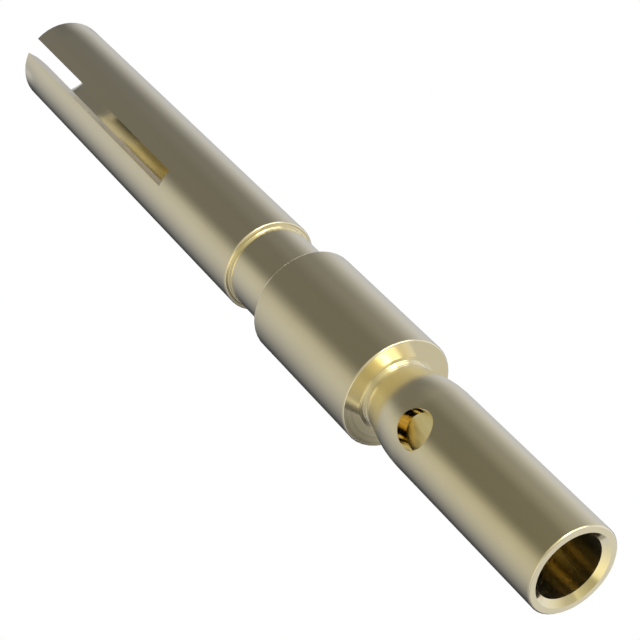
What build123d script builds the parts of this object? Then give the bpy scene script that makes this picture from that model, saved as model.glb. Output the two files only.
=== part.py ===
from build123d import *
import os
from math import radians, tan

# A crimp socket contact: one solid, turned from bar, bored from both ends, sawn and cross-drilled.
# It stands on its socket end. Z is the turning axis and rises from the socket's mouth to the wire
# end, and the origin is the middle of the mouth. The saw cut and the inspection hole face +X.
# All sizes are in millimetres.

# Socket barrel, with its two spring fingers
socket_od = 2.58
socket_len = 12.44
socket_bore = 1.61
socket_bore_depth = 9.6
mouth_depth = 0.52
mouth_widening = 0.15
slot_width = 0.50
slot_len = 8.54

# Front neck, the groove that a retaining clip grips
neck_depth = 0.14
neck_len = 1.78

# Collar, which seats in the insert, and the height of the cone round its front edge
collar_od = 2.93
collar_len = 4.21
collar_lead_in = 0.07

# Rear neck, a taper from its root at the collar out to the crimp barrel
root_od = 1.72
taper_len = 1.17
root_fillet = 0.12
shoulder_radius = 3.45

# Crimp barrel, open to the wire
crimp_od = 2.30
crimp_len = 5.62
wire_bore = 1.66
wire_bore_depth = 5.70
countersink_od = 1.94
inspection_hole = 0.98
inspection_hole_from_end = 4.78

# Edges, and the points that drills leave
edge_break = 0.04
tip_break = 0.03
corner_fillet = 0.04
drill_angle = 118

# How far a cutter runs out past the skin that it cuts through
runout = 0.5

# The neck's diameter, and the heights of the turned faces
neck_od = socket_od - 2 * neck_depth
socket_rear = socket_len
collar_front = socket_rear + neck_len
collar_rear = collar_front + collar_len
shoulder = collar_rear + taper_len
wire_end = shoulder + crimp_len


def half_profile(*points):
    """A closed profile beside the turning axis, drawn flat from pairs of diameter and height."""
    return make_face(Polyline(*[(diameter / 2, height) for diameter, height in points], close=True))


def corner(profile, diameter, height):
    """The corner of a half profile at a diameter and a height."""
    return profile.vertices().sort_by_distance((diameter / 2, height))[0]


def turned(profile):
    """The solid that a half profile sweeps out about the turning axis."""
    return revolve(Plane.XZ * profile, Axis.Z)


def drill_point(diameter):
    """The height of the cone that a drill of this diameter leaves at the bottom of its hole."""
    return diameter / 2 / tan(radians(drill_angle / 2))


def turned_outside():
    """The bar after turning: barrel, neck, collar, taper and barrel, with broken edges."""
    profile = half_profile(
        (0, 0),
        (socket_od, 0),
        (socket_od, socket_rear),
        (neck_od, socket_rear),
        (neck_od, collar_front),
        (collar_od - 2 * edge_break, collar_front),
        (collar_od, collar_front + collar_lead_in),
        (collar_od, collar_rear),
        (root_od, collar_rear),
        (crimp_od, shoulder),
        (crimp_od, wire_end),
        (0, wire_end),
    )
    outer_edges = [
        (socket_od, socket_rear),
        (collar_od, collar_rear),
        (crimp_od, wire_end),
    ]
    for place in outer_edges:
        profile = chamfer(corner(profile, *place), edge_break)
    profile = chamfer(corner(profile, socket_od, 0), tip_break)
    for place in [(neck_od, socket_rear), (neck_od, collar_front)]:
        profile = fillet(corner(profile, *place), corner_fillet)
    profile = fillet(corner(profile, root_od, collar_rear), root_fillet)
    profile = fillet(corner(profile, crimp_od, shoulder), shoulder_radius)
    return turned(profile)


def socket_cavity():
    """The blind bore for the pin. Its mouth opens out along an arc, to lead the pin in."""
    bore_r = socket_bore / 2
    mouth_r = bore_r + mouth_widening
    lead_in_radius = (mouth_depth**2 + mouth_widening**2) / (2 * mouth_widening)
    lead_in = RadiusArc((mouth_r, 0), (bore_r, mouth_depth), lead_in_radius)
    rest = Polyline(
        (bore_r, mouth_depth),
        (bore_r, socket_bore_depth),
        (0, socket_bore_depth + drill_point(socket_bore)),
        (0, -runout),
        (mouth_r, -runout),
        (mouth_r, 0),
    )
    return turned(make_face(lead_in + rest))


def wire_cavity():
    """The blind bore for the stripped wire, with a countersink that gathers its strands."""
    countersink_depth = (countersink_od - wire_bore) / 2
    profile = half_profile(
        (0, wire_end + runout),
        (countersink_od, wire_end + runout),
        (countersink_od, wire_end),
        (wire_bore, wire_end - countersink_depth),
        (wire_bore, wire_end - wire_bore_depth),
        (0, wire_end - wire_bore_depth - drill_point(wire_bore)),
    )
    return turned(profile)


def saw_cut():
    """One cut across the whole socket barrel. It leaves two fingers and a square end."""
    below = (Align.CENTER, Align.CENTER, Align.MAX)
    cut = Box(socket_od + 2 * runout, slot_width, slot_len + runout, align=below)
    return Pos(0, 0, slot_len) * cut


def inspection_cut():
    """The cross hole through one wall of the crimp barrel, which shows that the wire is fully in."""
    from_axis = (Align.CENTER, Align.CENTER, Align.MIN)
    drill = Cylinder(inspection_hole / 2, crimp_od / 2 + runout, align=from_axis)
    return Pos(0, 0, wire_end - inspection_hole_from_end) * Rot(0, 90, 0) * drill


def contact():
    """The whole contact, as one solid."""
    return turned_outside() - socket_cavity() - wire_cavity() - saw_cut() - inspection_cut()


os.makedirs("parts", exist_ok=True)
export_step(contact(), "parts/contact.step")
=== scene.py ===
from math import cos, pi, radians, sin

import bpy
from mathutils import Matrix, Vector

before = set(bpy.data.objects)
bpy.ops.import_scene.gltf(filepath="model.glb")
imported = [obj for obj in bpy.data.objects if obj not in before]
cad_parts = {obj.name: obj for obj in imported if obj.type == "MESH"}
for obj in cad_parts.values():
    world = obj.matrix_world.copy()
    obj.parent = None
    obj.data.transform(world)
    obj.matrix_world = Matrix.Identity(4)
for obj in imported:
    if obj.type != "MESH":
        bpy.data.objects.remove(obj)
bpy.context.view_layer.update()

# Camera, in the frame of the contact, in metres: where it stands, the directions of its right and
# up, and the nearest and furthest that it sees
LENS_MM = 106.008
SENSOR_MM = 36.0
CAMERA_PLACE = Vector((0.0321095, -0.0080278, 0.0468229))
CAMERA_RIGHT = Vector((-0.647388, -0.566745, 0.509597))
CAMERA_UP = Vector((0.303047, -0.804907, -0.510184))
CLIP_NEAR = 0.001
CLIP_FAR = 2.0

# Studio light, all of it soft. Each window of light: azimuth of its middle, half its width,
# softness of its right and left edges, its lowest and highest elevation, softness of those two
# edges, all in degrees, and its radiance. The last one is a dark flag, which takes light away.
LIGHT_COLOUR = (1.01, 0.994, 0.954, 1.0)
BASE_LIGHT = 0.097
WINDOWS = (
    (-156.1, 39.5, 2.5, 65.0, -100.0, 56.5, 60.0, 44.0, 0.417),
    (57.0, 36.5, 51.0, 95.0, -122.0, 60.0, 46.0, 30.0, 0.428),
    (-24.0, 58.0, 110.0, 16.0, -122.0, 17.0, 11.0, 52.0, 0.068),
    (-101.0, 36.5, 110.0, 42.0, -34.0, 62.5, 60.0, 17.5, 0.342),
    (-72.0, 27.0, 19.5, 15.0, -6.5, 23.5, 12.0, 13.0, 1.38),
    (-57.0, 11.0, 12.0, 14.0, 1.0, 16.0, 12.0, 12.0, 2.8),
    (-114.8, 80.8, 2.5, 6.0, -6.0, 40.5, 21.5, 22.0, 0.155),
    (-35.0, 33.0, 5.0, 110.0, -9.0, 52.0, 60.0, 41.0, 0.824),
    (18.0, 243.0, 14.0, 12.0, 57.0, 141.0, 38.0, 17.0, 0.423),
    (154.7, 9.7, 10.0, 2.5, 0.0, 36.0, 20.0, 2.0, 0.52),
    (130.0, 38.0, 25.0, 25.0, -110.0, -58.5, 10.0, 4.0, 0.40),
    (148.0, 17.5, 24.0, 4.0, -110.0, -20.0, 10.0, 20.0, -0.045),
)
LIGHT_MAP_PIXELS = 256

# A bowed strip of light, which stands where the countersink mirrors it to the photograph's
# viewpoint: the direction of that viewpoint; the sine of the elevation to which the countersink
# faces, and half the strip's width and its softness in that sine; the azimuths of the strip's ends
# and their softness, in degrees; and its radiance
STRIP_VIEW = (0.812, -0.203, 0.546)
STRIP_RISE = 0.707
STRIP_HALF = 0.03
STRIP_SOFT = 0.03
STRIP_FROM = 20.0
STRIP_TO = 150.0
STRIP_END_SOFT = 20.0
STRIP_RADIANCE = 0.52

# Floor, a pale sweep that rises all round, in metres
FLOOR_RADIUS = 0.30
COVE_RADIUS = 0.25
WALL_HEIGHT = 0.60
COVE_STEPS = 12
FLOOR_SIDES = 96

# Gold plating: what it reflects head on, where it is bright and where it is dull, and at a glance,
# where its gloss turns neutral; and the Layer Weight's blend between the two
GOLD = (0.90, 0.765, 0.345, 1.0)
GOLD_DULL = (0.87, 0.73, 0.32, 1.0)
GLANCE = (1.0, 1.0, 1.0, 1.0)
GLANCE_BLEND = 0.5

# Turning marks, as a relief in metres that repeats about this often in a millimetre
MARKS_PER_MM = 14.0
MARK_DEPTH = 0.0000002
NOISE_DETAIL = 3.0

# Broad patches of the plating: how many there are in a millimetre, the levels of noise over which
# the roughness changes, by how much it changes, and the levels over which the gold turns dull
PATCHES_PER_MM = 0.9
GLOSS_PATCHES = (0.3, 0.7)
ROUGHNESS_SPREAD = 0.03
DULL_PATCHES = (0.35, 0.7)

# Heights and radii of the contact are in millimetres from here on, as in its source
MM_PER_M = 1000.0

# How far beside a surface a point still counts as on it
TOUCH = 0.001

# The rear taper: the top of its root fillet, the heights between which it levels out into the
# barrel, and the rise of its normal before that. The socket's nose, which leans in a little and is
# shaded so, has the same.
ROOT_TOP = 18.56
TAPER_LEVELS_FROM = 19.19
TAPER_LEVELS_TO = 20.02
TAPER_RISE = -0.2406
NOSE_LEVELS_FROM = 0.25
NOSE_LEVELS_TO = 1.05
NOSE_RISE = -0.06

# The top of the socket's flared mouth, the inspection hole, the slot and the wire bore
MOUTH_TOP = 0.52
HOLE_HEIGHT = 20.44
HOLE_RADIUS = 0.49
SLOT_HALF_WIDTH = 0.25
SLOT_TOP = 8.54
WIRE_BORE_RADIUS = 0.84
WIRE_BORE_FROM = 19.0

# Fillets in the corners of the two necks: the radius and height of the arc's centre, the lowest
# and highest point of the arc
FILLETS = ((1.215, 12.505, 12.43, 12.505), (0.98, 18.55, 18.42, 18.579))

# Outer edges that are broken, by the height of the flat end that each surrounds, and how far the
# break reaches down. It is shaded as a rounding: the share of its height up to which the normal
# keeps its first elevation, that elevation and the last one at its top, in radians, the share
# from which a pale highlight is painted into the plating's colour, and that painted highlight's
# colour.
BROKEN_EDGES = (12.44, 18.43, 25.22)
EDGE_BREAK = 0.04
EDGE_TURNS_FROM = 0.2
EDGE_FIRST_ANGLE = 0.3
EDGE_LAST_ANGLE = 1.05
EDGE_HIGHLIGHT_FROM = 0.35
EDGE_PAINTED_HIGHLIGHT = (0.95, 0.85, 0.56, 1.0)

# What tells the surfaces apart, by the cosines of their normal: along the radius, the least
# for the side of a barrel or a bore; along the radius and along Z, the least for a broken edge;
# their squares together, the least for a turned surface; along an axis, the least for a flat face;
# and along X, the most for the inspection hole's wall
SIDE_FACING = 0.95
EDGE_FACING = 0.6
TURNED_FACING = 0.985
FLAT_FACING = 0.99
HOLE_WALL_FACING = 0.3

# Finishes. Flat ends are faced off finer than the rest. The rear taper is form-turned and rougher,
# which blends in and out over these heights. The inspection hole's wall is smooth, with a painted
# reflection: a deeper gold for the gold it mirrors. The slot's faces are sawn, and greyer at a
# glance.
# The wire bore is drilled, and finer below the height from which only the inspection hole shows it.
ROUGHNESS = 0.15
FACED_ROUGHNESS = 0.08
TAPER_ROUGHNESS = 0.24
TAPER_BLENDS_IN = 0.15
TAPER_BLENDS_OUT = 0.3
HOLE_ROUGHNESS = 0.05
HOLE_REFLECTION_GOLD = (1.0, 0.70, 0.16, 1.0)
SAWN_ROUGHNESS = 0.20
SAWN_GLANCE = (0.84, 0.82, 0.82, 1.0)
DRILLED_ROUGHNESS = 0.17
DEEP_ROUGHNESS = 0.15
DEEP_BELOW = 21.6


class Nodes:
    """Short calls for building a node tree. A source is a socket or a plain value."""

    def __init__(self, tree):
        self.tree = tree

    def add(self, kind, **settings):
        node = self.tree.nodes.new(kind)
        for name, value in settings.items():
            setattr(node, name, value)
        return node

    def feed(self, socket, source):
        if isinstance(source, bpy.types.NodeSocket):
            self.tree.links.new(source, socket)
        else:
            socket.default_value = source

    def math(self, operation, *sources):
        node = self.add("ShaderNodeMath", operation=operation)
        for socket, source in zip(node.inputs, sources):
            self.feed(socket, source)
        return node.outputs[0]

    def product(self, *sources):
        """All sources multiplied. Of shares that are 0 or 1, it is 1 where all of them are."""
        result = sources[0]
        for source in sources[1:]:
            result = self.math("MULTIPLY", result, source)
        return result

    def above(self, source, limit):
        return self.math("GREATER_THAN", source, limit)

    def below(self, source, limit):
        return self.math("LESS_THAN", source, limit)

    def absolute(self, source):
        return self.math("ABSOLUTE", source)

    def vector(self, operation, *sources):
        node = self.add("ShaderNodeVectorMath", operation=operation)
        for socket, source in zip(node.inputs, sources):
            self.feed(socket, source)
        return node.outputs["Value" if operation in ("DOT_PRODUCT", "LENGTH") else "Vector"]

    def scale(self, source, factor):
        node = self.add("ShaderNodeVectorMath", operation="SCALE")
        self.feed(node.inputs[0], source)
        self.feed(node.inputs["Scale"], factor)
        return node.outputs[0]

    def split(self, source):
        node = self.add("ShaderNodeSeparateXYZ")
        self.feed(node.inputs[0], source)
        return node.outputs

    def join(self, x, y, z):
        node = self.add("ShaderNodeCombineXYZ")
        for socket, source in zip(node.inputs, (x, y, z)):
            self.feed(socket, source)
        return node.outputs[0]

    def lean(self, radial, out, up):
        """A vector that goes this far out along the radial one, and this far up."""
        return self.vector("ADD", self.scale(radial, out), self.join(0.0, 0.0, up))

    def mix(self, kind, share, main, other):
        """The vector or colour main where share is 0, and other where it is 1."""
        node = self.add("ShaderNodeMix", data_type="RGBA" if kind == "Color" else "VECTOR")
        sources = {"Factor_Float": share, "A_" + kind: main, "B_" + kind: other}
        for socket in node.inputs:
            if socket.identifier in sources:
                self.feed(socket, sources[socket.identifier])
        return next(s for s in node.outputs if s.identifier == "Result_" + kind)

    def noise(self, source, scale):
        node = self.add("ShaderNodeTexNoise")
        self.feed(node.inputs["Vector"], source)
        node.inputs["Scale"].default_value = scale
        node.inputs["Detail"].default_value = NOISE_DETAIL
        return node.outputs[0]

    def ramp(self, source, start, end, low=0.0, high=1.0, kind="SMOOTHSTEP"):
        """A step of the source, smooth or linear, from low at start to high at end."""
        node = self.add("ShaderNodeMapRange", interpolation_type=kind)
        names = ("Value", "From Min", "From Max", "To Min", "To Max")
        for name, value in zip(names, (source, start, end, low, high)):
            self.feed(node.inputs[name], value)
        return node.outputs["Result"]

    def band(self, angle, low, high, soft_low, soft_high):
        """1 between two angles and 0 outside, with soft ends, all given in degrees."""
        rise = self.ramp(angle, radians(low - soft_low / 2), radians(low + soft_low / 2))
        fall_from, fall_to = radians(high - soft_high / 2), radians(high + soft_high / 2)
        return self.product(rise, self.ramp(angle, fall_from, fall_to, 1.0, 0.0))

    def azimuth(self, direction, middle):
        """The azimuth of a direction, counted from a middle in degrees."""
        turn = self.add("ShaderNodeVectorRotate", rotation_type="Z_AXIS")
        self.feed(turn.inputs["Vector"], direction)
        turn.inputs["Angle"].default_value = -radians(middle)
        turned = self.split(turn.outputs[0])
        return self.math("ARCTAN2", turned["Y"], turned["X"])


def make_camera():
    data = bpy.data.cameras.new("camera")
    data.lens = LENS_MM
    data.sensor_width = SENSOR_MM
    data.clip_start = CLIP_NEAR
    data.clip_end = CLIP_FAR
    camera = bpy.data.objects.new("camera", data)
    bpy.context.scene.collection.objects.link(camera)
    back = CAMERA_RIGHT.cross(CAMERA_UP)
    turn = Matrix((CAMERA_RIGHT, CAMERA_UP, back)).transposed()
    camera.matrix_world = Matrix.Translation(CAMERA_PLACE) @ turn.to_4x4()
    bpy.context.scene.camera = camera


def make_studio_light():
    world = bpy.data.worlds.new("studio")
    bpy.context.scene.world = world
    world.use_nodes = True
    world.cycles.sampling_method = "MANUAL"
    world.cycles.sample_map_resolution = LIGHT_MAP_PIXELS
    n = Nodes(world.node_tree)
    direction = n.add("ShaderNodeTexCoord").outputs["Generated"]
    elevation = n.math("ARCSINE", n.split(direction)["Z"])
    total = BASE_LIGHT
    for middle, half, soft_right, soft_left, low, high, soft_low, soft_high, radiance in WINDOWS:
        window = n.product(
            n.band(n.azimuth(direction, middle), -half, half, soft_right, soft_left),
            n.band(elevation, low, high, soft_low, soft_high),
        )
        total = n.math("MULTIPLY_ADD", window, radiance, total)
    mirror_normal = n.vector("NORMALIZE", n.vector("ADD", direction, STRIP_VIEW))
    off = n.absolute(n.math("SUBTRACT", n.split(mirror_normal)["Z"], STRIP_RISE))
    strip = n.product(
        n.ramp(off, STRIP_HALF, STRIP_HALF + STRIP_SOFT, 1.0, 0.0),
        n.band(n.azimuth(direction, 0.0), STRIP_FROM, STRIP_TO, STRIP_END_SOFT, STRIP_END_SOFT),
    )
    total = n.math("MULTIPLY_ADD", strip, STRIP_RADIANCE, total)
    background = world.node_tree.nodes["Background"]
    background.inputs["Color"].default_value = LIGHT_COLOUR
    n.feed(background.inputs["Strength"], total)


class Spot:
    """A point of the contact's surface, in millimetres, and how the mesh's facet faces there."""

    def __init__(self, n, place, normal):
        level = n.vector("MULTIPLY", place, (1.0, 1.0, 0.0))
        self.x, self.y, self.z = n.split(place)
        self.from_axis = n.vector("LENGTH", level)
        self.radial = n.vector("NORMALIZE", level)
        self.normal = normal
        self.outward = n.vector("DOT_PRODUCT", normal, self.radial)
        self.rise = n.split(normal)["Z"]
        across = n.vector("MULTIPLY", place, (0.0, 1.0, 1.0))
        self.from_hole = n.vector("SUBTRACT", across, (0.0, 0.0, HOLE_HEIGHT))
        within = n.below(n.vector("LENGTH", self.from_hole), HOLE_RADIUS + TOUCH)
        self.in_hole = n.product(within, n.above(self.x, 0.0))


def side_normal(n, spot):
    """The normal of the barrels and bores, which are level, and of the taper and the nose."""
    on_outside = n.above(spot.outward, SIDE_FACING)
    in_bore = n.product(n.below(spot.outward, -SIDE_FACING), n.above(spot.z, MOUTH_TOP))
    taper = n.ramp(spot.z, TAPER_LEVELS_FROM, TAPER_LEVELS_TO, TAPER_RISE, 0.0, kind="LINEAR")
    taper = n.product(taper, n.above(spot.z, ROOT_TOP))
    nose = n.ramp(spot.z, NOSE_LEVELS_FROM, NOSE_LEVELS_TO, NOSE_RISE, 0.0)
    true_rise = n.product(n.math("ADD", taper, nose), on_outside)
    on_side = n.math("MAXIMUM", on_outside, in_bore)
    rise = n.math("MULTIPLY_ADD", n.math("SUBTRACT", true_rise, spot.rise), on_side, spot.rise)
    return n.vector("NORMALIZE", n.lean(spot.radial, spot.outward, rise))


def with_fillets(n, spot, normal):
    """The normal, but towards the arc's centre in the filleted corners of the necks."""
    for centre, height, low, high in FILLETS:
        out = n.math("SUBTRACT", centre, spot.from_axis)
        up = n.math("SUBTRACT", height, spot.z)
        on_arc = n.product(
            n.above(spot.z, low), n.below(spot.z, high), n.below(spot.from_axis, centre)
        )
        arc_normal = n.vector("NORMALIZE", n.lean(spot.radial, out, up))
        normal = n.mix("Vector", on_arc, normal, arc_normal)
    return normal


def broken_edges(n, spot):
    """Where the broken edges are, the normal of a rounding there, and where a highlight is painted
    on it.
    """
    passed = 0.0
    for top in BROKEN_EDGES:
        passed = n.math("ADD", passed, n.ramp(spot.z, top - EDGE_BREAK, top, kind="LINEAR"))
    across = n.math("FRACT", passed)
    angles = (EDGE_FIRST_ANGLE, EDGE_LAST_ANGLE)
    angle = n.ramp(across, EDGE_TURNS_FROM, 1.0, *angles, kind="LINEAR")
    normal = n.lean(spot.radial, n.math("COSINE", angle), n.math("SINE", angle))
    on_edge = n.product(n.above(spot.outward, EDGE_FACING), n.above(spot.rise, EDGE_FACING))
    # The upper part of each broken edge gets a painted highlight in its colour
    return on_edge, normal, n.product(on_edge, n.above(across, EDGE_HIGHLIGHT_FROM))


def true_normal(n, spot):
    """The normal of the perfectly round surface, not the facet's, so that light runs smoothly
    round the barrels, the bores and the inspection hole; and where a highlight is painted on the
    edges."""
    # Sawn and drilled faces don't face along the radius: their normal leans round the axis
    in_plane = n.math("ADD", n.product(spot.outward, spot.outward), n.product(spot.rise, spot.rise))
    is_turned = n.above(in_plane, TURNED_FACING)
    normal = with_fillets(n, spot, side_normal(n, spot))
    normal = n.mix("Vector", is_turned, spot.normal, normal)
    on_edge, edge_normal, edge_highlight = broken_edges(n, spot)
    normal = n.mix("Vector", on_edge, normal, edge_normal)
    across = n.below(n.absolute(n.split(spot.normal)["X"]), HOLE_WALL_FACING)
    hole_normal = n.vector("NORMALIZE", n.scale(spot.from_hole, -1.0))
    return n.mix("Vector", n.product(spot.in_hole, across), normal, hole_normal), edge_highlight


def finishes(n, spot, normal):
    """The roughness here, and where the slot's sawn faces are."""
    facing = n.split(normal)
    on_taper = n.product(
        n.ramp(spot.z, ROOT_TOP, ROOT_TOP + TAPER_BLENDS_IN),
        n.ramp(spot.z, TAPER_LEVELS_TO, TAPER_LEVELS_TO + TAPER_BLENDS_OUT, 1.0, 0.0),
    )
    drilled = n.product(
        n.below(spot.from_axis, WIRE_BORE_RADIUS), n.above(spot.z, WIRE_BORE_FROM)
    )
    sawn = n.product(
        n.above(n.absolute(facing["Y"]), FLAT_FACING),
        n.below(spot.z, SLOT_TOP),
        n.below(n.absolute(spot.y), SLOT_HALF_WIDTH + TOUCH),
    )
    roughness = ROUGHNESS
    for share, value in (
        (on_taper, TAPER_ROUGHNESS),
        (spot.in_hole, HOLE_ROUGHNESS),
        (drilled, DRILLED_ROUGHNESS),
        (n.product(drilled, n.below(spot.z, DEEP_BELOW)), DEEP_ROUGHNESS),
        (n.above(n.absolute(facing["Z"]), FLAT_FACING), FACED_ROUGHNESS),
        (sawn, SAWN_ROUGHNESS),
    ):
        change = n.math("SUBTRACT", value, roughness)
        roughness = n.math("MULTIPLY_ADD", change, share, roughness)
    return roughness, sawn


def make_gold():
    material = bpy.data.materials.new("gold_plating")
    material.use_nodes = True
    n = Nodes(material.node_tree)
    place = n.scale(n.add("ShaderNodeTexCoord").outputs["Object"], MM_PER_M)
    spot = Spot(n, place, n.add("ShaderNodeNewGeometry").outputs["Normal"])
    smooth, edge_highlight = true_normal(n, spot)
    # Turning marks run round the axis: they change only with the distance from it and the height
    bump = n.add("ShaderNodeBump")
    bump.inputs["Distance"].default_value = MARK_DEPTH
    n.feed(bump.inputs["Height"], n.noise(n.join(spot.from_axis, spot.z, 0.0), MARKS_PER_MM))
    n.feed(bump.inputs["Normal"], smooth)
    normal = bump.outputs[0]
    patches = n.noise(place, PATCHES_PER_MM)
    roughness, sawn = finishes(n, spot, smooth)
    spread = n.ramp(patches, *GLOSS_PATCHES, -ROUGHNESS_SPREAD, ROUGHNESS_SPREAD)
    roughness = n.math("ADD", roughness, spread)
    plating_and_painted_light = n.mix("Color", n.ramp(patches, *DULL_PATCHES), GOLD, GOLD_DULL)
    # The inspection hole's wall gets a deeper gold, a painted reflection of the gold it mirrors
    plating_and_painted_light = n.mix("Color", spot.in_hole, plating_and_painted_light, HOLE_REFLECTION_GOLD)
    gold = material.node_tree.nodes["Principled BSDF"]
    # A pale painted highlight along the broken edges, laid into the gold's base colour
    n.feed(gold.inputs["Base Color"], n.mix("Color", edge_highlight, plating_and_painted_light, EDGE_PAINTED_HIGHLIGHT))
    glance = n.add("ShaderNodeBsdfPrincipled")
    n.feed(glance.inputs["Base Color"], n.mix("Color", sawn, GLANCE, SAWN_GLANCE))
    for shader in (gold, glance):
        shader.inputs["Metallic"].default_value = 1.0
        n.feed(shader.inputs["Roughness"], roughness)
        n.feed(shader.inputs["Normal"], normal)
    facing = n.add("ShaderNodeLayerWeight")
    facing.inputs["Blend"].default_value = GLANCE_BLEND
    n.feed(facing.inputs["Normal"], normal)
    mix = n.add("ShaderNodeMixShader")
    sources = (facing.outputs["Facing"], gold.outputs[0], glance.outputs[0])
    for socket, source in zip(mix.inputs, sources):
        n.feed(socket, source)
    n.feed(material.node_tree.nodes["Material Output"].inputs["Surface"], mix.outputs[0])
    return material


def sweep_mesh():
    """A disc that curves up into a wall all round, as one turned surface."""
    section = [(FLOOR_RADIUS, 0.0)]
    for i in range(1, COVE_STEPS + 1):
        turn = pi / 2 * i / COVE_STEPS
        section.append((FLOOR_RADIUS + COVE_RADIUS * sin(turn), COVE_RADIUS * (1 - cos(turn))))
    section.append((FLOOR_RADIUS + COVE_RADIUS, WALL_HEIGHT))
    points = [(0.0, 0.0, 0.0)]
    for radius, height in section:
        for k in range(FLOOR_SIDES):
            angle = 2 * pi * k / FLOOR_SIDES
            points.append((radius * cos(angle), radius * sin(angle), height))
    faces = []
    for k in range(FLOOR_SIDES):
        following = (k + 1) % FLOOR_SIDES
        faces.append((0, 1 + k, 1 + following))
        for row in range(len(section) - 1):
            low = 1 + row * FLOOR_SIDES
            high = low + FLOOR_SIDES
            faces.append((low + k, high + k, high + following, low + following))
    mesh = bpy.data.meshes.new("floor")
    mesh.from_pydata(points, [], faces)
    mesh.shade_smooth()
    return mesh


def make_floor():
    """A floor that glows an even white and that the contact doesn't mirror."""
    material = bpy.data.materials.new("floor")
    material.use_nodes = True
    shader = material.node_tree.nodes["Principled BSDF"]
    shader.inputs["Base Color"].default_value = (0.0, 0.0, 0.0, 1.0)
    shader.inputs["Roughness"].default_value = 1.0
    shader.inputs["Specular IOR Level"].default_value = 0.0
    shader.inputs["Emission Color"].default_value = (1.0, 1.0, 1.0, 1.0)
    shader.inputs["Emission Strength"].default_value = 1.0
    mesh = sweep_mesh()
    mesh.materials.append(material)
    floor = bpy.data.objects.new("floor", mesh)
    bpy.context.scene.collection.objects.link(floor)
    floor.visible_glossy = False
    floor.visible_shadow = False


make_camera()
make_studio_light()
make_floor()
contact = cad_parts["contact"]
contact.material_slots[0].material = make_gold()
bpy.context.scene.view_settings.view_transform = "Standard"
